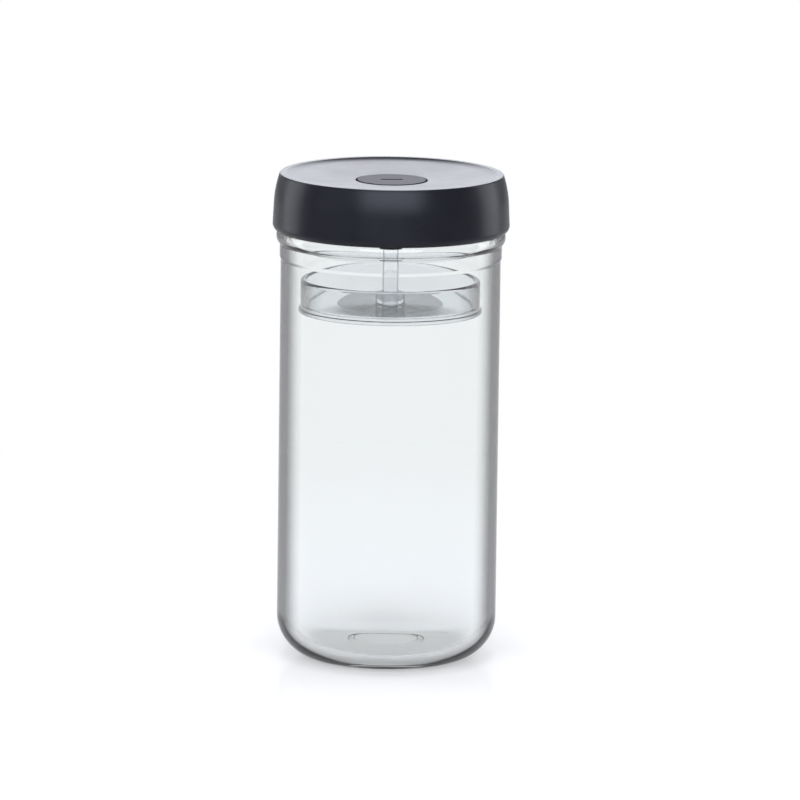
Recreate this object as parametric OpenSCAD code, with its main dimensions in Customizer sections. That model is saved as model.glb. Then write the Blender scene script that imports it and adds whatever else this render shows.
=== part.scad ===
// Fermentation jar: a glass jar, a screw lid with a vent button, and a sprung press that hangs
// from the lid. The origin is the middle of the base, +Z is up and the front faces -Y.

/* [Jar] */
// Outer diameter of the straight body
jar_d = 95; // [88:1:105]
// Height of the glass rim over the table
jar_h = 203.65; // [180:0.05:240]
// Thickness of the glass wall
jar_wall = 3.5; // [3:0.1:4]
// Thickness of the glass base
base_thick = 5; // [4:0.5:7]
// Outer corner radius of the base
base_round = 18.5; // [14:0.5:24]
// Height from the widest part of the bead to the rim
neck_h = 19.15; // [18.8:0.05:22]

/* [Thread] */
// Number of thread starts on the neck
thread_starts = 4; // [3:1:4]
// Rise of the lid in one turn
thread_lead = 20; // [18:1:22]
// How far the thread stands out of the neck
thread_h = 1.6; // [1.4:0.1:1.8]

/* [Lid] */
// Thickness of the cover's side at its lower edge
cover_wall = 2; // [1.8:0.1:3]
// Thickness of the cover's top around the button
cover_top = 1.8; // [1.6:0.1:2.4]
// Height of the rim over the middle of the dished top
rim_lift = 2.95; // [2.4:0.05:3.2]
// Thickness of the liner's web over the jar's rim
web_thick = 1.6; // [1.6:0.1:2.6]
// Thickness of the gasket
gasket_thick = 1.8; // [1.5:0.1:2.2]

/* [Button] */
// Diameter of the vent button
button_d = 30.2; // [28:0.1:34]
// How far the button is pressed
button_travel = 2; // [1.5:0.1:2.2]

/* [Press] */
// Diameter of the press cup's wall
cup_d = 77.6; // [70:0.1:78]
// Height of the press cup
cup_h = 14.5; // [12:0.5:18]
// Diameter of the stem
stem_d = 6.8; // [6.6:0.1:7.6]
// Length of stem between the guide and the cup's rim
stem_show = 11.35; // [11:0.05:20]
// How far the press is pushed up into the guide
press_travel = 8; // [6:0.5:8.5]

/* [Hidden] */
$fn = 96;

// Clearances: a loose gap, a sliding fit, the play on a thread's flank and the gap over its crest
loose = 0.3;
slide_fit = 0.05;
flank_play = 0.25;
crest_gap = 0.6;

// How far a cutting shape runs past the face that it cuts
cut = 1;

// Jar: radii from the body inwards and heights from the rim downwards
neck_in = 2.5;
band_out = 0.45;
bead_out = 2;
jar_r = jar_d / 2;
jar_in_r = jar_r - jar_wall;
neck_r = jar_r - neck_in;
mouth_r = neck_r - jar_wall;
band_r = jar_r + band_out;
bead_r = jar_r + bead_out;
bead_round = 4.2;
bead_z = jar_h - neck_h;
bead_low = acos((bead_round - bead_r + band_r) / bead_round);
bead_high = acos((bead_round - bead_r + neck_r) / bead_round);
band_h = 5.3;
band_low_z = bead_z - bead_round * sin(bead_low) - band_h;
band_blend = 1.8;

// Groove inside the bead, with the rounds that lead out of it to the mouth and to the body
groove_round = 2.4;
groove_r = bead_r - jar_wall - groove_round;
mouth_round = 3;
mouth_round_r = mouth_r + mouth_round;
mouth_round_z = bead_z + sqrt(pow(groove_round + mouth_round, 2) - pow(mouth_round_r - groove_r, 2));
mouth_angle = atan2(mouth_round_z - bead_z, mouth_round_r - groove_r);
shoulder_round = 4;
shoulder_r = jar_in_r + shoulder_round;
shoulder_z = bead_z - sqrt(pow(groove_round + shoulder_round, 2) - pow(shoulder_r - groove_r, 2));
shoulder_angle = atan2(shoulder_z - bead_z, shoulder_r - groove_r);
punt_r = 14;
punt_lift = 1;
punt_slope = 3;
in_round = base_round - jar_wall;

// Thread: the neck's ramps and the liner's lugs that run under them
thread_root_half = 1.3;
thread_crest_half = 0.6;
thread_sink = 0.6;
thread_taper = 12;
ramp_span = 80;
lug_span = 50;
lug_start = 15;
ramp_drop = 10.45;
ramp_z = jar_h - ramp_drop;
lug_drop = thread_root_half + thread_crest_half + flank_play;
thread_step = 5;
lug_z = ramp_z + thread_lead * lug_start / 360 - lug_drop;

// Lid heights, from the rim upwards
gasket_z = jar_h;
web_z = gasket_z + gasket_thick;
cover_z = web_z + web_thick;
top_z = cover_z + cover_top;
lid_z = top_z + rim_lift;
skirt_lift = 2.7;
skirt_z = bead_z + skirt_lift;

// Lid radii, from the neck outwards
liner_wall = 1.6;
liner_in_r = neck_r + thread_h + crest_gap;
liner_r = liner_in_r + liner_wall;
cover_in_r = liner_r + loose;
cover_r = cover_in_r + cover_wall;
liner_lift = 5.1;
liner_foot_z = bead_z + liner_lift;
ridge_h = 0.7;
ridge_depth = 0.6;
lid_draft = 0.045;
crown_h = 13;
crown_in = 1.9;
crown_z = lid_z - crown_h;
cone_lift = 2;
liner_cone_z = crown_z + cone_lift;
liner_cone_in = 1.8;
rim_edge = 0.9;
rim_flat = 2.7;
lip_round = 1;
dish_round = 12;
dish_turn = 25;
skirt_edge = 3;
skirt_flat = 0.3;
skirt_turn = acos((skirt_edge - cover_wall + loose + skirt_flat) / skirt_edge);
skirt_top_z = skirt_z + skirt_edge * sin(skirt_turn);

// Valve chamber in the middle of the liner
tab_thick = 1.5;
chamber_r = 18.6;
chamber_wall = 2;
chamber_room = 2.6;
chamber_depth = button_travel + tab_thick + chamber_room;
floor_thick = 2.2;
floor_z = cover_z - chamber_depth;
floor_low_z = floor_z - floor_thick;
plug_gap = 0.9;
plug_r = mouth_r - plug_gap;
plug_wall = 1.6;
plug_h = 4.9;
valve_neck_r = 2;

// Button: a hollow disc with tabs that stay under the cover's top
button_r = button_d / 2;
button_gap = 0.4;
button_proud = 0.2;
button_z = top_z + button_proud;
button_skin = 1.6;
button_wall = 1.4;
button_edge = 0.5;
tab_reach = 1.9;
tab_span = 50;
tab_count = 3;
pin_r = 0.9;
mark_depth = 0.3;
mark_long = 7.7;
mark_wide = 2.2;

// Vent valve: a silicone plug with a slit in its dome
valve_r = 5.5;
valve_flange = 1.2;
valve_dome_r = 3.2;
valve_dome = 2;
valve_bore_r = 1.1;
valve_skin = 0.5;
valve_bulb_r = 2.4;
valve_bulb = 1.4;
slit_long = 2;
slit_wide = 0.3;
pin_gap = 0.5;

// Press: the stem's head slides in the guide and stops on its lip
stem_r = stem_d / 2;
head_out = 0.65;
head_r = stem_r + head_out;
head_h = 3.5;
spigot_r = 2.1;
spigot_h = 2;
guide_in_r = head_r + slide_fit;
guide_wall = 0.85;
guide_r = guide_in_r + guide_wall;
lip_r = stem_r + slide_fit;
lip_h = 1.8;
press_spring_rest = 7.7;
press_spring_len = press_travel + press_spring_rest;
head_z = floor_low_z - press_spring_len - head_h;
guide_z = head_z - lip_h;
window_wide = 2.4;
window_h = 4;
window_gap = 1.4;
collar_wall = 2.2;
collar_h = 7.8;
cup_r = cup_d / 2;
cup_wall = 2.6;
cup_floor = 2.5;
cup_rim_z = guide_z - stem_show;
cup_z = cup_rim_z - cup_h;
flange_out = 0.8;
flange_h = 1.8;
boss_wall = 2.9;
boss_r = stem_r + boss_wall;
boss_h = 6;
socket_depth = 1;

// Springs: wire radius, mean radius and turns
coil_rings = 8;
coil_sides = 6;
press_wire_r = 0.4;
press_coil_in = 0.85;
press_coil_r = head_r - press_coil_in;
press_turns = 7;
button_wire_r = 0.35;
button_coil_r = 8;
button_turns = 3;
button_spring_len = button_z - button_skin - floor_z;

glass_colour = "#dfe8ea";
cover_colour = "#2c2d34";
liner_colour = "#33343a";
button_colour = "#55565d";
silicone_colour = "#8c8f94";
clear_colour = "#e6edf0";
steel_colour = "#b8bcc0";

// Points of an arc in the profile plane
function arc(x, z, r, from, to, steps = 12) =
    [for (i = [0 : steps]) let (a = from + (to - from) * i / steps) [x + r * cos(a), z + r * sin(a)]];

// Points of a soft step from one radius and height to another
function soft_step(r0, z0, r1, z1, steps = 8) =
    [for (i = [0 : steps])
        let (t = i / steps)
        [r0 + (r1 - r0) * (1 - cos(180 * t)) / 2, z0 + (z1 - z0) * t]];

// Radius of the cover's side at a height
function cover_side(z) =
    let (t = max(0, (z - crown_z) / crown_h))
    cover_r - lid_draft * max(0, z - skirt_top_z) - crown_in * t * t;

// Closed sweep through rings that each have the same number of points
module sweep(points, sides, inward = false) {
    last = len(points) / sides - 1;
    walls = [for (i = [0 : last - 1], j = [0 : sides - 1])
        let (a = i * sides + j, b = i * sides + (j + 1) % sides)
        each [[a, b, b + sides], [a, b + sides, a + sides]]];
    foot = [for (j = [1 : sides - 2]) [0, j + 1, j]];
    head = [for (j = [1 : sides - 2]) [last * sides, last * sides + j, last * sides + j + 1]];
    faces = concat(walls, foot, head);
    turned = [for (f = faces) inward ? [f[2], f[1], f[0]] : f];
    polyhedron(points, turned);
}

// One thread ramp that grows out of a wall and fades back into it
module thread_ramp(root_r, crest_r, from, span, low_z) {
    steps = ceil(span / thread_step);
    fade = 0.15;
    points = [for (i = [0 : steps])
        let (a = span * i / steps,
             grown = max(fade, min(1, a / thread_taper, (span - a) / thread_taper)),
             r = root_r + (crest_r - root_r) * grown,
             z = low_z + thread_lead * a / 360,
             c = cos(from + a),
             s = sin(from + a))
        each [[root_r * c, root_r * s, z - thread_root_half],
              [r * c, r * s, z - thread_crest_half],
              [r * c, r * s, z + thread_crest_half],
              [root_r * c, root_r * s, z + thread_root_half]]];
    sweep(points, 4, crest_r < root_r);
}

// Points of a coil spring's wire between two heights
function coil_points(coil_r, wire_r, turns, low_z, high_z) =
    [for (i = [0 : turns * coil_rings])
        let (a = 360 * i / coil_rings,
             z = low_z + wire_r + (high_z - low_z - 2 * wire_r) * i / (turns * coil_rings))
        for (j = [0 : coil_sides - 1])
            let (b = 30 + 360 * j / coil_sides, r = coil_r + wire_r * cos(b))
            [r * cos(a), r * sin(a), z + wire_r * sin(b)]];

// Least gap between points of a coil that are a turn apart
function coil_gap(points) =
    let (turn = coil_rings * coil_sides)
    min([for (i = [0 : len(points) - turn - coil_sides])
        for (j = [0 : coil_sides - 1])
            norm(points[i] - points[i - i % coil_sides + turn + j])]);

module jar_glass() {
    outside = concat(
        [[0, punt_lift], [punt_r, punt_lift], [punt_r + punt_slope, 0]],
        arc(jar_r - base_round, base_round, base_round, -90, 0),
        soft_step(jar_r, band_low_z - band_blend, band_r, band_low_z),
        arc(bead_r - bead_round, bead_z, bead_round, -bead_low, bead_high),
        arc(neck_r - jar_wall / 2, jar_h - jar_wall / 2, jar_wall / 2, 0, 180));
    inside = concat(
        arc(mouth_round_r, mouth_round_z, mouth_round, 180, 180 + mouth_angle, 6),
        arc(groove_r, bead_z, groove_round, mouth_angle, shoulder_angle),
        arc(shoulder_r, shoulder_z, shoulder_round, 180 + shoulder_angle, 180, 6),
        arc(jar_in_r - in_round, base_thick + in_round, in_round, 0, -90),
        [[0, base_thick]]);
    color(glass_colour, 0.4)
    union() {
        rotate_extrude() polygon(concat(outside, inside));
        for (i = [0 : thread_starts - 1])
            thread_ramp(neck_r - thread_sink, neck_r + thread_h,
                        360 * i / thread_starts, ramp_span, ramp_z);
    }
}

module lid_cover() {
    side = [for (i = [0 : 12])
        let (z = skirt_top_z + (lid_z - rim_edge - skirt_top_z) * i / 12)
        [cover_side(z), z]];
    top_r = cover_side(lid_z - rim_edge);
    hole_r = button_r + button_gap;
    rim_in_r = top_r - rim_flat;
    dish_r = rim_in_r - (lip_round + dish_round) * sin(dish_turn);
    dish_z = lid_z - lip_round + (lip_round + dish_round) * cos(dish_turn);
    dish_reach = norm([dish_r - hole_r, dish_z - top_z]);
    dish_slope = atan2(dish_z - top_z, dish_r - hole_r) - asin(dish_round / dish_reach);
    outline = concat(
        [[cover_in_r + loose, skirt_z]],
        arc(cover_r - skirt_edge, skirt_top_z, skirt_edge, -skirt_turn, -10, 6),
        side,
        arc(top_r - rim_edge, lid_z - rim_edge, rim_edge, 20, 90, 6),
        arc(rim_in_r, lid_z - lip_round, lip_round, 90, 90 + dish_turn, 3),
        arc(dish_r, dish_z, dish_round, dish_turn - 90, dish_slope - 90, 6),
        [[hole_r, top_z], [hole_r, cover_z]],
        [[cover_in_r - liner_cone_in, cover_z], [cover_in_r, liner_cone_z]],
        [[cover_in_r, liner_foot_z], [cover_in_r - ridge_depth, liner_foot_z]],
        [[cover_in_r - ridge_depth, liner_foot_z - ridge_h]],
        [[cover_in_r + loose, liner_foot_z - 2 * ridge_h]]);
    color(cover_colour) rotate_extrude() polygon(outline);
}

module lid_liner() {
    collar_in_r = guide_r + slide_fit;
    skirt = [[liner_in_r, liner_foot_z], [liner_r, liner_foot_z], [liner_r, liner_cone_z],
             [liner_r - liner_cone_in, cover_z], [chamber_r, cover_z]];
    collar_r = collar_in_r + collar_wall;
    collar_z = floor_low_z - collar_h;
    hole_r = valve_neck_r + slide_fit;
    chamber = [[chamber_r, floor_z], [hole_r, floor_z], [hole_r, floor_low_z], [collar_in_r, floor_low_z],
               [collar_in_r, collar_z], [collar_r, collar_z], [collar_r, floor_low_z]];
    chamber_out_r = chamber_r + chamber_wall;
    plug_in_r = plug_r - plug_wall;
    plug_z = web_z - plug_h;
    under = [[chamber_out_r, floor_low_z], [chamber_out_r, web_z], [plug_in_r, web_z],
             [plug_in_r, plug_z], [plug_r, plug_z], [plug_r, web_z], [liner_in_r, web_z]];
    color(liner_colour)
    union() {
        rotate_extrude() polygon(concat(skirt, chamber, under));
        for (i = [0 : thread_starts - 1])
            thread_ramp(liner_in_r + thread_sink, liner_in_r - thread_h,
                        lug_start + 360 * i / thread_starts, lug_span, lug_z);
    }
}

module lid_gasket() {
    color(silicone_colour)
    translate([0, 0, gasket_z])
    difference() {
        cylinder(r = liner_in_r - loose, h = gasket_thick);
        translate([0, 0, -cut]) cylinder(r = plug_r + loose, h = gasket_thick + 2 * cut);
    }
}

module valve_button() {
    low_z = cover_z - tab_thick;
    inner_z = button_z - button_skin;
    inner_r = button_r - button_wall;
    outline = concat(
        [[0, inner_z], [inner_r, inner_z], [inner_r, low_z], [button_r, low_z]],
        arc(button_r - button_edge, button_z - button_edge, button_edge, 0, 90, 4),
        [[0, button_z]]);
    pin_z = floor_z + valve_dome + pin_gap;
    color(button_colour)
    difference() {
        union() {
            rotate_extrude() polygon(outline);
            translate([0, 0, pin_z]) cylinder(r = pin_r, h = inner_z - pin_z + button_skin / 2);
            for (i = [0 : tab_count - 1])
                rotate([0, 0, 360 * i / tab_count])
                translate([0, 0, low_z])
                rotate_extrude(angle = tab_span)
                translate([button_r - button_wall / 2, 0])
                square([tab_reach + button_wall / 2, tab_thick]);
        }
        translate([0, 0, button_z - mark_depth]) {
            translate([-mark_long / 2, -mark_wide / 2, 0]) cube([mark_long, mark_wide, cut]);
            for (x = [-mark_long / 2, mark_long / 2])
                translate([x, 0, 0]) cylinder(d = mark_wide, h = cut);
        }
    }
}

module button_spring() {
    color(steel_colour) translate([0, 0, floor_z]) sweep(button_points, coil_sides);
}

module vent_valve() {
    dome_z = floor_z + valve_dome;
    bulb_z = floor_low_z - valve_bulb;
    outline = [[valve_bore_r, bulb_z], [valve_neck_r, bulb_z], [valve_bulb_r, floor_low_z],
               [valve_neck_r, floor_low_z],
               [valve_neck_r, floor_z], [valve_r, floor_z], [valve_r, floor_z + valve_flange],
               [valve_dome_r, floor_z + valve_flange], [valve_dome_r - valve_skin, dome_z], [0, dome_z],
               [0, dome_z - valve_skin], [valve_bore_r, dome_z - valve_skin]];
    color(silicone_colour)
    difference() {
        rotate_extrude() polygon(outline);
        translate([-slit_long / 2, -slit_wide / 2, dome_z - 2 * valve_skin])
        cube([slit_long, slit_wide, 3 * valve_skin]);
    }
}

module press_guide() {
    window_z = floor_low_z - collar_h - window_gap - window_h;
    color(cover_colour)
    difference() {
        translate([0, 0, guide_z]) cylinder(r = guide_r, h = floor_low_z - guide_z);
        translate([0, 0, guide_z + lip_h]) cylinder(r = guide_in_r, h = floor_low_z - guide_z);
        translate([0, 0, guide_z - cut]) cylinder(r = lip_r, h = lip_h + 2 * cut);
        translate([-guide_r - cut, -window_wide / 2, window_z])
        cube([2 * guide_r + 2 * cut, window_wide, window_h]);
    }
}

module press_spring() {
    low_z = floor_low_z - press_spring_len;
    color(steel_colour) translate([0, 0, low_z]) sweep(press_points, coil_sides);
}

module press_stem() {
    foot_z = cup_z + cup_floor - socket_depth;
    color(clear_colour, 0.5)
    union() {
        translate([0, 0, foot_z]) cylinder(r = stem_r, h = head_z - foot_z + head_h / 2);
        translate([0, 0, head_z]) cylinder(r = head_r, h = head_h);
        translate([0, 0, head_z + head_h / 2]) cylinder(r = spigot_r, h = head_h / 2 + spigot_h);
    }
}

module press_cup() {
    floor_top = cup_z + cup_floor;
    lip = cup_wall / 2;
    socket_r = stem_r + slide_fit;
    flange_r = cup_r + flange_out;
    outline = concat(
        [[0, cup_z], [flange_r, cup_z], [flange_r, cup_z + flange_h], [cup_r, cup_z + flange_h]],
        arc(cup_r - lip, cup_rim_z - lip, lip, 0, 180),
        [[cup_r - cup_wall, floor_top], [boss_r, floor_top], [boss_r, floor_top + boss_h]],
        [[socket_r, floor_top + boss_h], [socket_r, floor_top - socket_depth]],
        [[0, floor_top - socket_depth]]);
    color(clear_colour, 0.4) rotate_extrude() polygon(outline);
}

press_points = coil_points(press_coil_r, press_wire_r, press_turns, 0, press_spring_len);
button_points = coil_points(button_coil_r, button_wire_r, button_turns, 0, button_spring_len);
echo(press_spring_gap = coil_gap(press_points));
echo(button_spring_gap = coil_gap(button_points));

jar_glass();
lid_cover();
lid_liner();
lid_gasket();
valve_button();
button_spring();
vent_valve();
press_guide();
press_spring();
press_stem();
press_cup();
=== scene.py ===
import math

import bmesh
import bpy
from mathutils import Matrix, Vector

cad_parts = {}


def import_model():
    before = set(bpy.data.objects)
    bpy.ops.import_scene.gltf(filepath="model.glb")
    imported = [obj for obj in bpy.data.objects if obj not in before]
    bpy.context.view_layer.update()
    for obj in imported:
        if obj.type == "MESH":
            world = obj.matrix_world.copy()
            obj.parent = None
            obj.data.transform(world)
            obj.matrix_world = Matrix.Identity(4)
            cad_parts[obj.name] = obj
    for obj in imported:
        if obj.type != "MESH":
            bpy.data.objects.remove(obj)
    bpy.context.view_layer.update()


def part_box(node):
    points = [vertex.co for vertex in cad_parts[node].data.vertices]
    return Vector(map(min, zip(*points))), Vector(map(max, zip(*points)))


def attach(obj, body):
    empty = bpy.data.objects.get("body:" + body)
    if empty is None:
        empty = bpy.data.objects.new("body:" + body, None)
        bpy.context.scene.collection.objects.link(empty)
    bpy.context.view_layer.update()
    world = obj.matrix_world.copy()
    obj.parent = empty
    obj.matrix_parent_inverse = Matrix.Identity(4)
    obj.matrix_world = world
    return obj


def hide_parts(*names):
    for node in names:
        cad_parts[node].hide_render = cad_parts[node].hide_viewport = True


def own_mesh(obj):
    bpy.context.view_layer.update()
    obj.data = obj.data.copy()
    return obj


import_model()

# Outlines are written in millimetres, and meshes are made in metres
MM = 0.001

# Facets of turned pieces: large, small and smallest
SEGMENTS = 256
SMALL_SEGMENTS = 128
LEAST_SEGMENTS = 96

# Edges that turn further than this stay sharp, and lengths below this count as none
SHARP_ANGLE = math.radians(32)
TINY = 1e-6

# Range that most values of a noise texture lie in
NOISE_RANGE = (0.3, 0.7)


def node_mm(name):
    """Greatest radius along X, lowest and highest point of a CAD node, in millimetres."""
    low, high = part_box(name)
    return high.x / MM, low.z / MM, high.z / MM


# Sizes read from the frame
bead_r, _, rim_z = node_mm("jar_glass")
cover_r, skirt_z, lid_z = node_mm("lid_cover")
liner_r, liner_foot_z, cover_z = node_mm("lid_liner")
gasket_r, gasket_z, web_z = node_mm("lid_gasket")
tab_r, pin_z, button_z = node_mm("valve_button")
guide_r, guide_z, floor_low_z = node_mm("press_guide")
valve_r, valve_foot_z, dome_z = node_mm("vent_valve")
head_r, stem_foot_z, spigot_z = node_mm("press_stem")
flange_r, cup_z, cup_rim_z = node_mm("press_cup")
_, floor_z, button_inner_z = node_mm("button_spring")
_, head_top_z, _ = node_mm("press_spring")

# Clearances: a loose gap, a sliding fit and the play on a thread's flank
loose = 0.3
slide_fit = 0.05
flank_play = 0.25

# How far a cutting shape runs past the face that it cuts
cut_past = 1

# Jar: radii from the bead inwards and heights from the rim downwards
bead_out = 2
band_out = 0.45
neck_in = 2.5
jar_wall = 3.5
jar_r = bead_r - bead_out
jar_in_r = jar_r - jar_wall
neck_r = jar_r - neck_in
mouth_r = neck_r - jar_wall
band_r = jar_r + band_out
neck_h = 19.15
bead_z = rim_z - neck_h
bead_round = 4.2
band_h = 5.3
band_blend = 1.8
groove_round = 2.4
mouth_round = 3
shoulder_round = 4
base_round = 18.5
base_thick = 5
punt_r = 14
punt_slope = 3
punt_lift = 1

# Thread: ramps on the neck and lugs in the liner, which run under them
thread_starts = 4
thread_lead = 20
thread_h = 1.6
root_half = 1.3
crest_half = 0.6
thread_taper = 12
ramp_span = 80
ramp_drop = 10.45
ramp_z = rim_z - ramp_drop
lug_span = 50
lug_start = 15
lug_drop = root_half + crest_half + flank_play
lug_z = ramp_z + thread_lead * lug_start / 360 - lug_drop

# Lid cover
lid_draft = 0.045
crown_h = 13
crown_in = 1.9
rim_edge = 0.9
rim_flat = 2.7
lip_round = 1
dish_round = 12
dish_turn = 25
hole_round = 0.35
cover_in_r = liner_r + loose
skirt_in_r = cover_in_r + loose
skirt_edge = 3
skirt_flat = 0.3
skirt_turn = math.acos((skirt_edge - cover_r + skirt_in_r + skirt_flat) / skirt_edge)
skirt_top_z = skirt_z + skirt_edge * math.sin(skirt_turn)
ridge_h = 0.7
ridge_depth = 0.6

# Lid liner, with the valve chamber, the plug in the jar's mouth and the guide's collar
liner_wall = 1.6
liner_in_r = liner_r - liner_wall
cone_lift = 2
liner_cone_z = lid_z - crown_h + cone_lift
liner_cone_in = 1.8
liner_edge = 0.3
chamber_r = 18.6
chamber_wall = 2
plug_gap = 0.9
plug_r = mouth_r - plug_gap
plug_wall = 1.6
plug_h = 4.9
collar_wall = 2.2
collar_h = 7.8
gasket_edge = 0.5

# Button, with tabs under the cover, a pin over the valve and a slot in its top
button_proud = 0.2
top_z = button_z - button_proud
tab_reach = 1.9
tab_thick = 1.5
tab_span = 50
tab_count = 3
button_r = tab_r - tab_reach
button_gap = 0.4
button_wall = 1.4
button_edge = 0.5
pin_r = 0.9
pin_edge = 0.3
mark_long = 7.7
mark_wide = 2.2
mark_depth = 0.3

# Vent valve
valve_bore_r = 1.1
valve_neck_r = 2
valve_bulb_r = 2.4
valve_dome_r = 3.2
valve_flange = 1.2
valve_skin = 0.5
slit_long = 2
slit_wide = 0.3

# Press: guide, stem and cup
guide_edge = 0.25
lip_h = 1.8
window_wide = 2.4
window_h = 4
window_gap = 1.4
head_out = 0.65
head_h = 3.5
stem_r = head_r - head_out
stem_hole_r = stem_r + slide_fit
stem_edge = 0.3
spigot_r = 2.1
cup_wall = 2.6
cup_floor = 2.5
cup_in_round = 1
flange_out = 0.8
flange_h = 1.8
flange_edge = 0.4
foot_edge = 0.5
boss_wall = 2.9
boss_h = 6
boss_round = 0.8
boss_edge = 0.5
socket_depth = 1

# Springs
button_coil_r = 8
button_wire_r = 0.35
button_turns = 3
press_coil_in = 0.85
press_coil_r = head_r - press_coil_in
press_wire_r = 0.4
press_turns = 7


# Outlines

def arc(x, z, r, start, end, steps=14):
    """Points of an arc in the outline's plane, with angles in degrees."""
    angles = [math.radians(start + (end - start) * i / steps) for i in range(steps + 1)]
    return [(x + r * math.cos(a), z + r * math.sin(a)) for a in angles]


def soft_step(r0, z0, r1, z1, steps=14):
    """Points of a soft step from one radius and height to another."""
    share = [i / steps for i in range(steps + 1)]
    return [(r0 + (r1 - r0) * (1 - math.cos(math.pi * t)) / 2, z0 + (z1 - z0) * t) for t in share]


def line(a, b, spacing):
    """Points from a to b, ends included, about as far apart as spacing."""
    steps = max(1, round(math.dist(a, b) / spacing))
    share = [i / steps for i in range(steps + 1)]
    return [(a[0] + (b[0] - a[0]) * t, a[1] + (b[1] - a[1]) * t) for t in share]


def towards(p, q, reach):
    """Point at a distance from p in the direction of q."""
    share = reach / math.dist(p, q)
    return p[0] + (q[0] - p[0]) * share, p[1] + (q[1] - p[1]) * share


def rounded(points, radius, steps=4):
    """A closed outline with each corner off the axis cut by a small round."""
    edge_share = 0.45
    out = []
    for i, p in enumerate(points):
        before, after = points[i - 1], points[(i + 1) % len(points)]
        if p[0] < TINY:
            out.append(p)
            continue
        reach = min(radius, math.dist(p, before) * edge_share, math.dist(p, after) * edge_share)
        a, b = towards(p, before, reach), towards(p, after, reach)
        for j in range(steps + 1):
            t = j / steps
            out.append(tuple((1 - t) ** 2 * a[k] + 2 * t * (1 - t) * p[k] + t * t * b[k] for k in (0, 1)))
    return out


def smooth(t):
    """Eased share from 0 to 1."""
    t = min(1, max(0, t))
    return t * t * (3 - 2 * t)


def thread_rows(low_z, middle_z, high_z):
    """Heights of a threaded wall's rows, closest on the flanks of the thread at middle_z."""
    flank_steps, wall_steps = 12, 4
    below, above = middle_z - root_half - low_z, high_z - middle_z - root_half
    flank = [crest_half + (root_half - crest_half) * i / flank_steps for i in range(flank_steps + 1)]
    rows = [low_z + below * i / wall_steps for i in range(wall_steps)]
    rows += [middle_z - off for off in reversed(flank)] + [middle_z + off for off in flank]
    return rows + [high_z - above * i / wall_steps for i in reversed(range(wall_steps))]


def thread_shift(angle, z, first, span, low_z, middle_z, high_z):
    """Moves of a threaded wall's point: outwards, as a share of the thread's height, and upwards.

    The rows climb with the ramps and come back between them, so that each ramp lies along its rows."""
    sector = 360 / thread_starts
    along = (angle - first) % sector
    climb = thread_lead / 360 * min(along, span * (sector - along) / (sector - span))
    below, above = middle_z - root_half - low_z, high_z - middle_z - root_half
    held = min(1, (z - low_z) / below, (high_z - z) / above)
    grown = smooth(min(along, span - along) / thread_taper)
    return grown * smooth((root_half - abs(z - middle_z)) / (root_half - crest_half)), climb * held


# Meshes

def shade(mesh):
    """Smooth shading, with sharp edges kept."""
    mesh.shade_smooth()
    mesh.set_sharp_from_angle(angle=SHARP_ANGLE)


def mesh_object(name, verts, faces):
    """Smooth-shaded object from points in millimetres."""
    mesh = bpy.data.meshes.new(name)
    mesh.from_pydata([Vector(v) * MM for v in verts], [], faces)
    work = bmesh.new()
    work.from_mesh(mesh)
    bmesh.ops.recalc_face_normals(work, faces=work.faces)
    work.to_mesh(mesh)
    work.free()
    shade(mesh)
    made = bpy.data.objects.new(name, mesh)
    bpy.context.scene.collection.objects.link(made)
    return made


def lathe(name, outline, shift=None, segments=SEGMENTS):
    """Turns a closed outline of (radius, height) about Z.

    shift(angle, radius, height) gives how far a point moves outwards and upwards."""
    verts, rings, faces = [], [], []
    for r, z in outline:
        first = len(verts)
        if r < TINY:
            verts.append((0, 0, z))
            rings.append([first] * segments)
            continue
        for k in range(segments):
            angle = 360 * k / segments
            out, up = shift(angle, r, z) if shift else (0, 0)
            turn = math.radians(angle)
            verts.append(((r + out) * math.cos(turn), (r + out) * math.sin(turn), z + up))
        rings.append(list(range(first, first + segments)))
    for a, b in zip(rings, rings[1:] + rings[:1]):
        for k in range(segments):
            n = (k + 1) % segments
            corners = list(dict.fromkeys((a[k], a[n], b[n], b[k])))
            if len(corners) > 2:
                faces.append(corners)
    return mesh_object(name, verts, faces)


def coil(name, coil_r, wire_r, turns, low_z, high_z, rings=40, sides=12):
    """Coil spring between two heights, with rings of the wire's section in each turn."""
    verts, faces = [], []
    count = round(turns * rings)
    for i in range(count + 1):
        a = 2 * math.pi * i / rings
        z = low_z + wire_r + (high_z - low_z - 2 * wire_r) * i / count
        for j in range(sides):
            b = 2 * math.pi * j / sides
            r = coil_r + wire_r * math.cos(b)
            verts.append((r * math.cos(a), r * math.sin(a), z + wire_r * math.sin(b)))
    for i in range(count):
        for j in range(sides):
            n = (j + 1) % sides
            faces.append((i * sides + j, i * sides + n, (i + 1) * sides + n, (i + 1) * sides + j))
    faces.append(tuple(range(sides)))
    faces.append(tuple(count * sides + j for j in range(sides)))
    return mesh_object(name, verts, faces)


def prism(name, outline, low_z, high_z):
    """Closed outline of (x, y), raised between two heights."""
    count = len(outline)
    verts = [(x, y, z) for z in (low_z, high_z) for x, y in outline]
    faces = [tuple(range(count)), tuple(range(count, 2 * count))]
    faces += [(i, (i + 1) % count, (i + 1) % count + count, i + count) for i in range(count)]
    return mesh_object(name, verts, faces)


def block(name, length, width, low_z, high_z):
    """Box centred on the axis."""
    x, y = length / 2, width / 2
    return prism(name, [(-x, -y), (x, -y), (x, y), (-x, y)], low_z, high_z)


def cut(target, tool):
    """Takes the tool's shape out of the target and removes the tool."""
    change = target.modifiers.new("cut", "BOOLEAN")
    change.operation = "DIFFERENCE"
    change.solver = "EXACT"
    change.object = tool
    bpy.context.view_layer.update()
    result = target.evaluated_get(bpy.context.evaluated_depsgraph_get())
    done = bpy.data.meshes.new_from_object(result)
    target.modifiers.clear()
    target.data = done
    shade(done)
    bpy.data.objects.remove(tool)


# Materials

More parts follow.
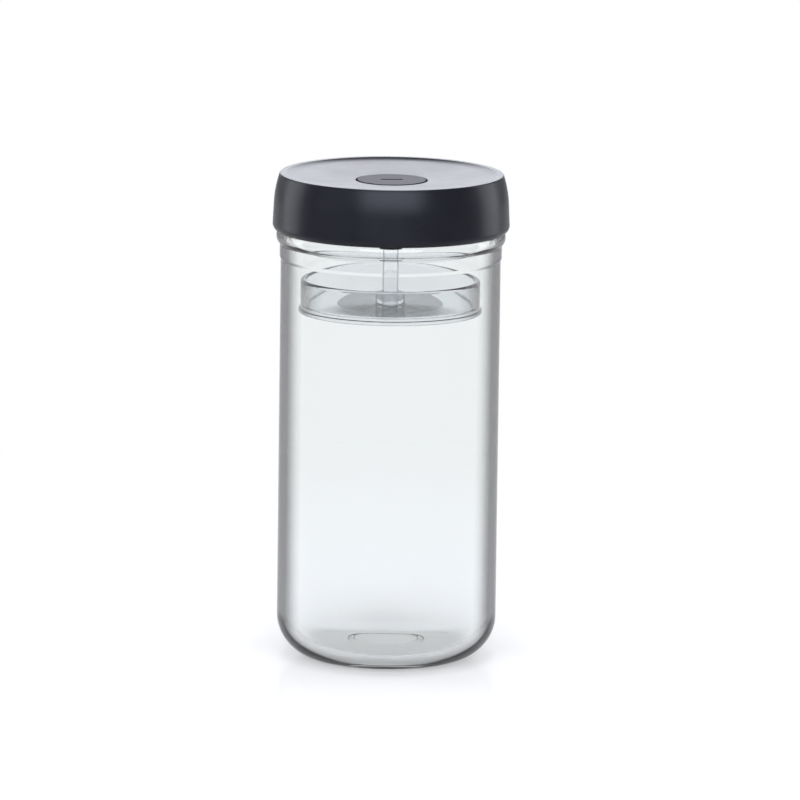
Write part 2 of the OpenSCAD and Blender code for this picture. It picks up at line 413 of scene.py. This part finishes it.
class Nodes:
    """Shortcuts that add nodes to a tree. An input takes a value or another node's output."""

    def __init__(self, tree):
        self.tree = tree

    def feed(self, socket, value):
        if isinstance(value, bpy.types.NodeSocket):
            self.tree.links.new(value, socket)
        else:
            socket.default_value = value

    def set_inputs(self, node, **inputs):
        """Feeds a node's inputs by name, where _ stands for a space."""
        for key, value in inputs.items():
            self.feed(node.inputs[key.replace("_", " ")], value)

    def add(self, kind, **inputs):
        node = self.tree.nodes.new(kind)
        self.set_inputs(node, **inputs)
        return node

    def operate(self, kind, operation, *values):
        """Math or vector math node on values in order."""
        node = self.tree.nodes.new(kind)
        node.operation = operation
        for socket, value in zip(node.inputs, values):
            self.feed(socket, value)
        return node.outputs

    def combine(self, operation, *values):
        """Number worked out from other numbers."""
        return self.operate("ShaderNodeMath", operation, *values)["Value"]

    def map_range(self, value, source, target, interpolation="LINEAR"):
        """Number that runs over the target range as a value runs over the source range."""
        node = self.add("ShaderNodeMapRange", Value=value, From_Min=source[0], From_Max=source[1],
                        To_Min=target[0], To_Max=target[1])
        node.interpolation_type = interpolation
        return node.outputs["Result"]

    def ramp(self, factor, stops):
        """Colour ramp with (position, colour) stops."""
        node = self.add("ShaderNodeValToRGB", Fac=factor)
        elements = node.color_ramp.elements
        while len(elements) < len(stops):
            elements.new(0.5)
        for element, (position, colour) in zip(elements, stops):
            element.position = position
            element.color = (*colour, 1)
        return node.outputs["Color"]

    def height(self, place):
        return self.add("ShaderNodeSeparateXYZ", Vector=place).outputs["Z"]

    def noise(self, place, scale, detail):
        return self.add("ShaderNodeTexNoise", Vector=place, Scale=scale, Detail=detail).outputs["Fac"]

    def blotches(self, noise, colour, other):
        """Colour that runs from one to the other with a noise."""
        return self.ramp(noise, list(zip(NOISE_RANGE, (colour, other))))

    def bump(self, place, layers, distance):
        """Normal from layers of noise, each (scale, strength)."""
        inputs = {}
        for scale, strength in layers:
            inputs["Height"] = self.noise(place, scale, detail=3.0)
            node = self.add("ShaderNodeBump", Strength=strength, Distance=distance, **inputs)
            inputs["Normal"] = node.outputs["Normal"]
        return inputs["Normal"]

    def seen(self):
        """1 for the camera's own view, straight or through glass, and 0 for light and gloss."""
        path = self.add("ShaderNodeLightPath").outputs
        return self.combine("MAXIMUM", path["Is Camera Ray"], path["Is Transmission Ray"])

    def mix_shaders(self, share, first, second):
        node = self.add("ShaderNodeMixShader", Fac=share)
        self.feed(node.inputs[1], first)
        self.feed(node.inputs[2], second)
        return node.outputs["Shader"]


def material(name):
    """New node material, shortcuts for its nodes and its shader."""
    made = bpy.data.materials.new(name)
    made.use_nodes = True
    return made, Nodes(made.node_tree), made.node_tree.nodes["Principled BSDF"]


def clear_material(name, ior, tint, edge_shade, smudge):
    """Glass or clear plastic with faint ripples and smudges, and painted shade towards its edges.

    The edge list gives (how far an outer face turns away, how much of the tint is left there): painted
    shade that darkens the base colour as the face turns away. The jar's rounded base, which faces the white
    floor, gets less of this painted shade."""
    # Share of the painted edge shade that is left at the very bottom of the rounded base
    heel_shade_share = 0.35
    made, nodes, shader = material(name)
    coords = nodes.add("ShaderNodeTexCoord").outputs
    place = coords["Object"]
    across = nodes.operate("ShaderNodeVectorMath", "MULTIPLY", place, (1, 1, 0))["Vector"]
    outward = nodes.operate("ShaderNodeVectorMath", "DOT_PRODUCT", across, coords["Normal"])["Value"]
    outer = nodes.combine("GREATER_THAN", outward, 0.0)
    # Painted edge shade: outer faces that turn away darken the base colour, less so low on the rounded base
    facing = nodes.add("ShaderNodeLayerWeight", Blend=0.5).outputs["Facing"]
    edge_shade_mask = nodes.combine("MULTIPLY", facing, outer)
    heel_shade_factor = nodes.map_range(nodes.height(place), (0, base_round * MM), (heel_shade_share, 1))
    stops = [(0.0, tint)] + [(at, tuple(c * left for c in tint)) for at, left in edge_shade]
    nodes.set_inputs(
        shader,
        Base_Color=nodes.ramp(nodes.combine("MULTIPLY", edge_shade_mask, heel_shade_factor), stops),
        Transmission_Weight=1.0,
        IOR=ior,
        Roughness=nodes.map_range(nodes.noise(place, scale=38.0, detail=4.0), NOISE_RANGE, (0.0, smudge)),
        Normal=nodes.bump(place, layers=[(22.0, 0.03), (70.0, 0.006)], distance=0.001),
    )
    return made


def plastic(name, colour, lighter, roughness, grain, specular=0.5, sheen=(1, 1, 1), print_and_shade_band=None):
    """Moulded plastic with a fine grain, slight colour variation and uneven gloss.

    sheen tints its gloss. The last argument is a pair of heights, between which the plastic is made dark
    and matt: print in the button's slot, and painted shade on the button's rounded rim, which lies in the
    same band."""
    print_and_shade_share = 0.4
    made, nodes, shader = material(name)
    place = nodes.add("ShaderNodeTexCoord").outputs["Object"]
    cloud = nodes.noise(place, scale=55.0, detail=5.0)
    tone = nodes.blotches(cloud, colour, lighter)
    gloss = nodes.map_range(cloud, NOISE_RANGE, roughness)
    # Dark matt band of heights: print in the slot, and painted shade on the disc's rounded rim
    if print_and_shade_band:
        low, high = print_and_shade_band[0] * MM, print_and_shade_band[1] * MM
        print_and_shade_mask = nodes.combine("COMPARE", nodes.height(place), (low + high) / 2, (high - low) / 2)
        dim = nodes.add("ShaderNodeMix")
        dim.data_type = "RGBA"
        print_and_shade_colour = (*(c * print_and_shade_share for c in colour), 1)
        nodes.set_inputs(dim, Factor=print_and_shade_mask, A=tone, B=print_and_shade_colour)
        tone = dim.outputs["Result"]
        gloss = nodes.combine("MAXIMUM", gloss, print_and_shade_mask)
    nodes.set_inputs(
        shader,
        Base_Color=tone,
        Roughness=gloss,
        Specular_IOR_Level=specular,
        Specular_Tint=(*sheen, 1),
        Normal=nodes.bump(place, layers=[(1400.0, grain), (420.0, grain * 0.5)], distance=0.0002),
    )
    return made


def silicone(name, colour, deeper):
    """Soft milky silicone with a dusty sheen."""
    made, nodes, shader = material(name)
    place = nodes.add("ShaderNodeTexCoord").outputs["Object"]
    cloud = nodes.noise(place, scale=120.0, detail=4.0)
    nodes.set_inputs(
        shader,
        Base_Color=nodes.blotches(cloud, deeper, colour),
        Roughness=nodes.map_range(cloud, NOISE_RANGE, (0.4, 0.55)),
        Subsurface_Weight=0.4,
        Subsurface_Radius=(0.002, 0.002, 0.002),
        Sheen_Weight=0.15,
        Normal=nodes.bump(place, layers=[(900.0, 0.08)], distance=0.0002),
    )
    return made


def steel(name, colour, brighter):
    """Drawn spring wire: bright metal with fine streaks."""
    made, nodes, shader = material(name)
    place = nodes.add("ShaderNodeTexCoord").outputs["Object"]
    streaks = nodes.noise(place, scale=2500.0, detail=2.0)
    nodes.set_inputs(
        shader,
        Base_Color=nodes.blotches(streaks, colour, brighter),
        Roughness=nodes.map_range(streaks, NOISE_RANGE, (0.2, 0.38)),
        Metallic=1.0,
        Normal=nodes.bump(place, layers=[(2500.0, 0.05)], distance=0.0001),
    )
    return made


# Painted edge shade of the clear materials: (how far a face turns away, how much of the tint is left there)
glass_edge_shade = [(0.4, 1.0), (0.46, 0.74), (0.52, 0.4), (0.57, 0.18), (0.63, 0.06), (0.8, 0.02), (1.0, 0.015)]
clear_edge_shade = [(0.35, 1.0), (0.5, 0.55), (0.62, 0.22), (0.8, 0.1), (1.0, 0.06)]

# The slot is printed dark from below its floor to just under the disc's top. This band of heights also
# takes in the disc's rounded rim, which is painted dark there as painted shade in the gap round the disc.
dark_band_past = 0.1
dark_band_short = 0.02
mark_print_and_rim_shade = (button_z - mark_depth - dark_band_past, button_z - dark_band_short)

glass = clear_material("jar_glass", ior=1.5, tint=(0.925, 0.942, 0.946), edge_shade=glass_edge_shade, smudge=0.012)
clear = clear_material("clear_plastic", ior=1.49, tint=(0.88, 0.895, 0.91), edge_shade=clear_edge_shade, smudge=0.03)
charcoal = plastic("charcoal_plastic", colour=(0.0056, 0.006, 0.0092), lighter=(0.0068, 0.0072, 0.011),
                   roughness=(0.27, 0.32), grain=0.05, specular=0.33, sheen=(0.84, 0.87, 1.0))
dark = plastic("dark_plastic", colour=(0.009, 0.009, 0.011), lighter=(0.014, 0.014, 0.016),
               roughness=(0.42, 0.52), grain=0.15)
button_grey = plastic("button_grey", colour=(0.04, 0.041, 0.052), lighter=(0.048, 0.049, 0.062),
                      roughness=(0.52, 0.57), grain=0.06, specular=0.22, print_and_shade_band=mark_print_and_rim_shade)
milky = silicone("silicone", colour=(0.5, 0.51, 0.53), deeper=(0.42, 0.43, 0.45))
wire = steel("spring_steel", colour=(0.48, 0.49, 0.5), brighter=(0.68, 0.69, 0.7))


# Pieces

def finish_piece(piece, paint, body, node):
    """Paints a piece, hides the CAD node that it stands for, and lets the piece ride on its body."""
    piece.data.materials.clear()
    piece.data.materials.append(paint)
    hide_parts(node)
    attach(piece, body)
    return piece


def groove():
    """Inside of the bead, from the mouth down to the body's wall: a groove between two rounds."""
    groove_r = bead_r - jar_wall - groove_round
    mouth_x = mouth_r + mouth_round
    rise = math.sqrt((groove_round + mouth_round) ** 2 - (mouth_x - groove_r) ** 2)
    mouth_angle = math.degrees(math.atan2(rise, mouth_x - groove_r))
    body_x = jar_in_r + shoulder_round
    drop = math.sqrt((groove_round + shoulder_round) ** 2 - (body_x - groove_r) ** 2)
    body_angle = math.degrees(math.atan2(-drop, body_x - groove_r))
    points = arc(mouth_x, bead_z + rise, mouth_round, 180, 180 + mouth_angle, 12)
    points += arc(groove_r, bead_z, groove_round, mouth_angle, body_angle, 24)[1:]
    points += arc(body_x, bead_z - drop, shoulder_round, 180 + body_angle, 180, 10)[1:]
    return points


def jar():
    """Glass jar, drawn from the hollow under its base up the outside and down the inside."""
    wall_spacing = 12
    low = math.degrees(math.acos((bead_round - bead_r + band_r) / bead_round))
    high = math.degrees(math.acos((bead_round - bead_r + neck_r) / bead_round))
    band_low_z = bead_z - bead_round * math.sin(math.radians(low)) - band_h
    neck_low_z = bead_z + bead_round * math.sin(math.radians(high))
    rim_round = jar_wall / 2
    neck_top_z = rim_z - rim_round
    in_round = base_round - jar_wall
    outline = [(0, punt_lift)]
    outline += soft_step(punt_r, punt_lift, punt_r + punt_slope, 0, 8)
    outline += arc(jar_r - base_round, base_round, base_round, -90, 0, 24)
    outline += line((jar_r, base_round), (jar_r, band_low_z - band_blend), wall_spacing)[1:-1]
    outline += soft_step(jar_r, band_low_z - band_blend, band_r, band_low_z)
    outline += arc(bead_r - bead_round, bead_z, bead_round, -low, high, 28)
    outline += [(neck_r, z) for z in thread_rows(neck_low_z, ramp_z, neck_top_z)[1:-1]]
    outline += arc(neck_r - rim_round, neck_top_z, rim_round, 0, 180, 18)
    outline += groove()
    outline += line(outline[-1], (jar_in_r, base_thick + in_round), wall_spacing)[1:-1]
    outline += arc(jar_in_r - in_round, base_thick + in_round, in_round, 0, -90, 24)
    outline += [(0, base_thick)]

    def thread(angle, r, z):
        if abs(r - neck_r) > TINY:
            return 0, 0
        out, up = thread_shift(angle, z, 0, ramp_span, neck_low_z, ramp_z, neck_top_z)
        return thread_h * out, up

    piece = lathe("jar", outline, thread)
    return finish_piece(piece, glass, "jar", "jar_glass")


def cover_side(z):
    """Radius of the cover's side at a height."""
    rise = max(0, (z - lid_z + crown_h) / crown_h)
    return cover_r - lid_draft * max(0, z - skirt_top_z) - crown_in * rise * rise


def cover():
    """Lid cover, drawn from its lower edge up the side, over the dished top and back inside."""
    side_steps = 32
    # Degrees at which the rounds below and above the side stop short of it
    skirt_end, rim_start = -4, 12
    low, high = skirt_top_z, lid_z - rim_edge
    rows = [low + (high - low) * i / side_steps for i in range(side_steps + 1)]
    top_r = cover_side(high)
    hole_r = button_r + button_gap
    rim_in_r = top_r - rim_flat
    turn = math.radians(dish_turn)
    dish_r = rim_in_r - (lip_round + dish_round) * math.sin(turn)
    dish_z = lid_z - lip_round + (lip_round + dish_round) * math.cos(turn)
    across, down = dish_r - hole_r, dish_z - top_z
    dish_slope = math.degrees(math.atan2(down, across) - math.asin(dish_round / math.hypot(across, down)))
    outline = [(skirt_in_r, skirt_z)]
    outline += arc(cover_r - skirt_edge, low, skirt_edge, -math.degrees(skirt_turn), skirt_end, 14)
    outline += [(cover_side(z), z) for z in rows]
    outline += arc(top_r - rim_edge, high, rim_edge, rim_start, 90, 10)
    outline += arc(rim_in_r, lid_z - lip_round, lip_round, 90, 90 + dish_turn, 6)
    outline += arc(dish_r, dish_z, dish_round, dish_turn - 90, dish_slope - 90, 16)[1:]
    # The slope's first row is close to the round, so that the round's shading ends there
    slope = line(outline[-1], (hole_r + hole_round, top_z), spacing=1.5)
    outline += [slope[1]] + slope[4::4]
    outline += arc(hole_r + hole_round, top_z - hole_round, hole_round, 90, 180, 6)
    outline += [(hole_r, cover_z), (cover_in_r - liner_cone_in, cover_z), (cover_in_r, liner_cone_z)]
    ridge_r = cover_in_r - ridge_depth
    outline += [(cover_in_r, liner_foot_z), (ridge_r, liner_foot_z), (ridge_r, liner_foot_z - ridge_h)]
    outline += [(skirt_in_r, liner_foot_z - 2 * ridge_h)]
    piece = lathe("cover", outline)
    return finish_piece(piece, charcoal, "lid", "lid_cover")


def liner():
    """Threaded inner cap, drawn from its lower edge over the top and back underneath."""
    chamber_out_r = chamber_r + chamber_wall
    plug_in_r, plug_z = plug_r - plug_wall, web_z - plug_h
    collar_in_r = guide_r + slide_fit
    collar_r, collar_z = collar_in_r + collar_wall, floor_low_z - collar_h
    hole_r = valve_neck_r + slide_fit
    corners = [(liner_in_r, liner_foot_z), (liner_r, liner_foot_z), (liner_r, liner_cone_z)]
    corners += [(liner_r - liner_cone_in, cover_z), (chamber_r, cover_z), (chamber_r, floor_z)]
    corners += [(hole_r, floor_z), (hole_r, floor_low_z), (collar_in_r, floor_low_z)]
    corners += [(collar_in_r, collar_z), (collar_r, collar_z), (collar_r, floor_low_z)]
    corners += [(chamber_out_r, floor_low_z), (chamber_out_r, web_z), (plug_in_r, web_z)]
    corners += [(plug_in_r, plug_z), (plug_r, plug_z), (plug_r, web_z), (liner_in_r, web_z)]
    outline = rounded(corners, liner_edge)
    outline += [(liner_in_r, z) for z in reversed(thread_rows(liner_foot_z, lug_z, web_z)[1:-1])]

    def lug(angle, r, z):
        if abs(r - liner_in_r) > TINY:
            return 0, 0
        out, up = thread_shift(angle, z, lug_start, lug_span, liner_foot_z, lug_z, web_z)
        return -thread_h * out, up

    piece = lathe("liner", outline, lug)
    return finish_piece(piece, dark, "lid", "lid_liner")


def gasket():
    """Ring between the jar's rim and the liner."""
    inner_r = plug_r + loose
    corners = [(inner_r, gasket_z), (gasket_r, gasket_z), (gasket_r, web_z), (inner_r, web_z)]
    piece = lathe("gasket", rounded(corners, gasket_edge))
    return finish_piece(piece, milky, "seal", "lid_gasket")


def button():
    """Hollow disc, with its pin, its tabs and the slot in its top."""
    inner_r = button_r - button_wall
    tab_z = cover_z - tab_thick
    tab_top_step = 0.02
    outline = [(0, pin_z), (pin_r - pin_edge, pin_z), (pin_r, pin_z + pin_edge), (pin_r, button_inner_z)]
    outline += [(inner_r, button_inner_z), (inner_r, tab_z), (button_r, tab_z)]
    outline += [(button_r, tab_z + tab_thick), (button_r, tab_z + tab_thick + tab_top_step)]
    outline += arc(button_r - button_edge, button_z - button_edge, button_edge, 0, 90, 8)
    outline += line((button_r - 2 * button_edge, button_z), (0, button_z), spacing=3)

    def tab(angle, r, z):
        if r < button_r - TINY or z > tab_z + tab_thick + TINY:
            return 0, 0
        return (tab_reach if angle % (360 / tab_count) <= tab_span else 0), 0

    piece = lathe("button", outline, tab)
    # An odd count of steps keeps the slot's corners off the edges of the disc's mesh
    steps = 15
    slot = arc(mark_long / 2, 0, mark_wide / 2, -90, 90, steps)
    slot += arc(-mark_long / 2, 0, mark_wide / 2, 90, 270, steps)
    cut(piece, prism("slot", slot, button_z - mark_depth, button_z + cut_past))
    return finish_piece(piece, button_grey, "button", "valve_button")


def valve():
    """Silicone plug with a slit in its dome."""
    flange_z = floor_z + valve_flange
    outline = [(valve_bore_r, valve_foot_z), (valve_neck_r, valve_foot_z), (valve_bulb_r, floor_low_z)]
    outline += [(valve_neck_r, floor_low_z), (valve_neck_r, floor_z), (valve_r, floor_z)]
    outline += [(valve_r, flange_z), (valve_dome_r, flange_z), (valve_dome_r - valve_skin, dome_z)]
    outline += [(0, dome_z), (0, dome_z - valve_skin), (valve_bore_r, dome_z - valve_skin)]
    piece = lathe("vent_valve_skin", outline, segments=LEAST_SEGMENTS)
    cut(piece, block("slit", slit_long, slit_wide, dome_z - cut_past, dome_z + cut_past))
    finish_piece(piece, milky, "lid", "vent_valve")
    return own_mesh(piece)


def guide():
    """Tube that the stem's head slides in, with a lip at its foot and a window in each side."""
    bore_r = head_r + slide_fit
    lip_z = guide_z + lip_h
    corners = [(stem_hole_r, guide_z), (guide_r, guide_z), (guide_r, floor_low_z)]
    corners += [(bore_r, floor_low_z), (bore_r, lip_z), (stem_hole_r, lip_z)]
    piece = lathe("guide", rounded(corners, guide_edge), segments=SMALL_SEGMENTS)
    window_top_z = floor_low_z - collar_h - window_gap
    window_long = 2 * guide_r + 2 * cut_past
    cut(piece, block("window", window_long, window_wide, window_top_z - window_h, window_top_z))
    return finish_piece(piece, dark, "lid", "press_guide")


def stem():
    """Rod with a head that stays in the guide and a spigot that centres the spring."""
    head_z = head_top_z - head_h
    corners = [(0, stem_foot_z), (stem_r, stem_foot_z), (stem_r, head_z), (head_r, head_z)]
    corners += [(head_r, head_top_z), (spigot_r, head_top_z), (spigot_r, spigot_z), (0, spigot_z)]
    piece = lathe("stem", rounded(corners, stem_edge), segments=SMALL_SEGMENTS)
    return finish_piece(piece, clear, "press", "press_stem")


def cup():
    """Press cup, drawn from its foot up the wall, over the rim and down to the stem's socket."""
    cup_r = flange_r - flange_out
    rim_round = cup_wall / 2
    flange_z = cup_z + flange_h
    floor_top = cup_z + cup_floor
    boss_r, boss_z = stem_r + boss_wall, floor_top + boss_h
    socket_z = floor_top - socket_depth
    outline = [(0, cup_z)] + arc(flange_r - foot_edge, cup_z + foot_edge, foot_edge, -90, 0, 6)
    outline += arc(flange_r - flange_edge, flange_z - flange_edge, flange_edge, 0, 90, 6)
    outline += [(cup_r, flange_z)]
    outline += line((cup_r, flange_z + flange_edge), (cup_r, cup_rim_z - rim_round), spacing=4)
    outline += arc(cup_r - rim_round, cup_rim_z - rim_round, rim_round, 0, 180, 16)[1:]
    outline += arc(cup_r - cup_wall - cup_in_round, floor_top + cup_in_round, cup_in_round, 0, -90, 8)
    outline += arc(boss_r + boss_round, floor_top + boss_round, boss_round, -90, -180, 6)
    outline += arc(boss_r - boss_edge, boss_z - boss_edge, boss_edge, 0, 90, 6)
    outline += [(stem_hole_r, boss_z), (stem_hole_r, socket_z), (0, socket_z)]
    piece = lathe("cup", outline)
    return finish_piece(piece, clear, "press", "press_cup")


def springs():
    """Coils that lift the button and push the press down, each drawn between its heights at rest."""
    lift = coil("button_coil", button_coil_r, button_wire_r, button_turns, floor_z, button_inner_z)
    finish_piece(lift, wire, "lid", "button_spring")
    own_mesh(lift)
    push = coil("press_coil", press_coil_r, press_wire_r, press_turns, head_top_z, floor_low_z)
    finish_piece(push, wire, "lid", "press_spring")
    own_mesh(push)


for build in (jar, cover, liner, gasket, button, valve, guide, stem, cup, springs):
    build()


# Stage

def floor():
    """Wide white floor that keeps the jar's soft shadow and a faint reflection near it."""
    shadow_reach = (0.12, 0.5)
    gloss_share = 0.05
    lifted = 0.27
    place = (0, 0, -0.1 * MM)
    bpy.ops.mesh.primitive_circle_add(vertices=96, radius=9, fill_type="NGON", location=place)
    ground = bpy.context.object
    ground.name = "floor"
    made, nodes, shader = material("floor")
    nodes.tree.nodes.remove(shader)
    seen = nodes.seen()
    matt = nodes.add("ShaderNodeBsdfDiffuse", Color=(0.72, 0.72, 0.72, 1)).outputs["BSDF"]
    gloss = nodes.add("ShaderNodeBsdfGlossy", Color=(1, 1, 1, 1), Roughness=0.12).outputs["BSDF"]
    table_top = nodes.mix_shaders(gloss_share, matt, gloss)
    lift = nodes.add("ShaderNodeEmission", Strength=nodes.combine("MULTIPLY", seen, lifted))
    near = nodes.add("ShaderNodeAddShader")
    nodes.feed(near.inputs[0], table_top)
    nodes.feed(near.inputs[1], lift.outputs["Emission"])
    white = nodes.add("ShaderNodeEmission", Strength=1.0).outputs["Emission"]
    point = nodes.add("ShaderNodeTexCoord").outputs["Object"]
    away = nodes.operate("ShaderNodeVectorMath", "LENGTH", point)["Value"]
    far = nodes.map_range(away, shadow_reach, (0, 1), "SMOOTHSTEP")
    share = nodes.combine("MULTIPLY", far, seen)
    surface = nodes.mix_shaders(share, near.outputs["Shader"], white)
    nodes.feed(nodes.tree.nodes["Material Output"].inputs["Surface"], surface)
    ground.data.materials.append(made)


def world():
    """White to the camera and through the glass, and a soft studio gradient for light and gloss."""
    level, overhead = (0.45, 0.46, 0.48), (0.3, 0.3, 0.31)
    sky = bpy.data.worlds.new("studio")
    bpy.context.scene.world = sky
    sky.use_nodes = True
    sky.node_tree.nodes.clear()
    nodes = Nodes(sky.node_tree)
    place = nodes.add("ShaderNodeTexCoord").outputs["Generated"]
    gradient = nodes.ramp(nodes.height(place), [(0.0, level), (0.7, overhead)])
    room = nodes.add("ShaderNodeBackground", Color=gradient, Strength=0.9).outputs["Background"]
    white = nodes.add("ShaderNodeBackground", Color=(1, 1, 1, 1)).outputs["Background"]
    nodes.add("ShaderNodeOutputWorld", Surface=nodes.mix_shaders(nodes.seen(), room, white))


def softbox(name, place, aim, width, height, brightness, colour=(1, 1, 1)):
    """Area lamp whose face has the given radiance, with its place and size in metres."""
    data = bpy.data.lights.new(name, "AREA")
    data.shape = "RECTANGLE"
    data.size, data.size_y = width, height
    data.color = colour
    data.energy = brightness * math.pi * width * height
    lamp = bpy.data.objects.new(name, data)
    bpy.context.scene.collection.objects.link(lamp)
    lamp.location = place
    lamp.rotation_mode = "QUATERNION"
    lamp.rotation_quaternion = (Vector(aim) - Vector(place)).to_track_quat("-Z", "Y")
    lamp.visible_camera = False
    lamp.visible_transmission = False


def lights():
    """Strips beside the jar, a box over it, broad fills in front and two panels behind it."""
    middle, lid = (0, 0, 0.12), (0, 0, 0.2)
    cool = (0.96, 0.975, 1.05)
    softbox("left_strip", (-1.05, 0.45, 0.45), middle, 0.6, 1.1, 1.75)
    softbox("right_strip", (1.05, 0.45, 0.45), middle, 0.6, 1.1, 1.75)
    softbox("overhead", (0, -0.1, 1.4), middle, 0.6, 0.6, 5.0)
    softbox("front_fill", (0, -1.8, 1.08), lid, 2.3, 1.3, 3.3, cool)
    softbox("left_fill", (-1.8, -1.0, 0.7), lid, 1.2, 1.2, 0.45, cool)
    softbox("back_low", (0, 2.4, 0.42), lid, 1.3, 0.62, 1.78, cool)
    softbox("back_high", (0, 2.1, 1.25), lid, 1.3, 1.1, 2.8, cool)


def camera():
    """Long lens at the photograph's angle, with its slight roll."""
    distance = 4.0
    pitch = math.radians(10.3)
    roll = math.radians(0.75)
    image_width = 800
    pixels_per_mm = 2.3116
    target = Vector((4.8, 0, 112.5)) * MM
    data = bpy.data.cameras.new("camera")
    made = bpy.data.objects.new("camera", data)
    bpy.context.scene.collection.objects.link(made)
    data.sensor_width = 36
    data.lens = data.sensor_width * distance / (image_width / pixels_per_mm * MM)
    data.clip_end = 40
    back = Vector((0, -math.cos(pitch), math.sin(pitch)))
    made.location = target + back * distance
    made.rotation_mode = "QUATERNION"
    turn = (-back).to_track_quat("-Z", "Y")
    made.rotation_quaternion = turn @ Matrix.Rotation(roll, 3, "Z").to_quaternion()
    bpy.context.scene.camera = made


floor()
world()
lights()
camera()
bpy.context.scene.view_settings.view_transform = "Standard"
bpy.context.scene.cycles.max_bounces = 32
bpy.context.scene.cycles.transmission_bounces = 32
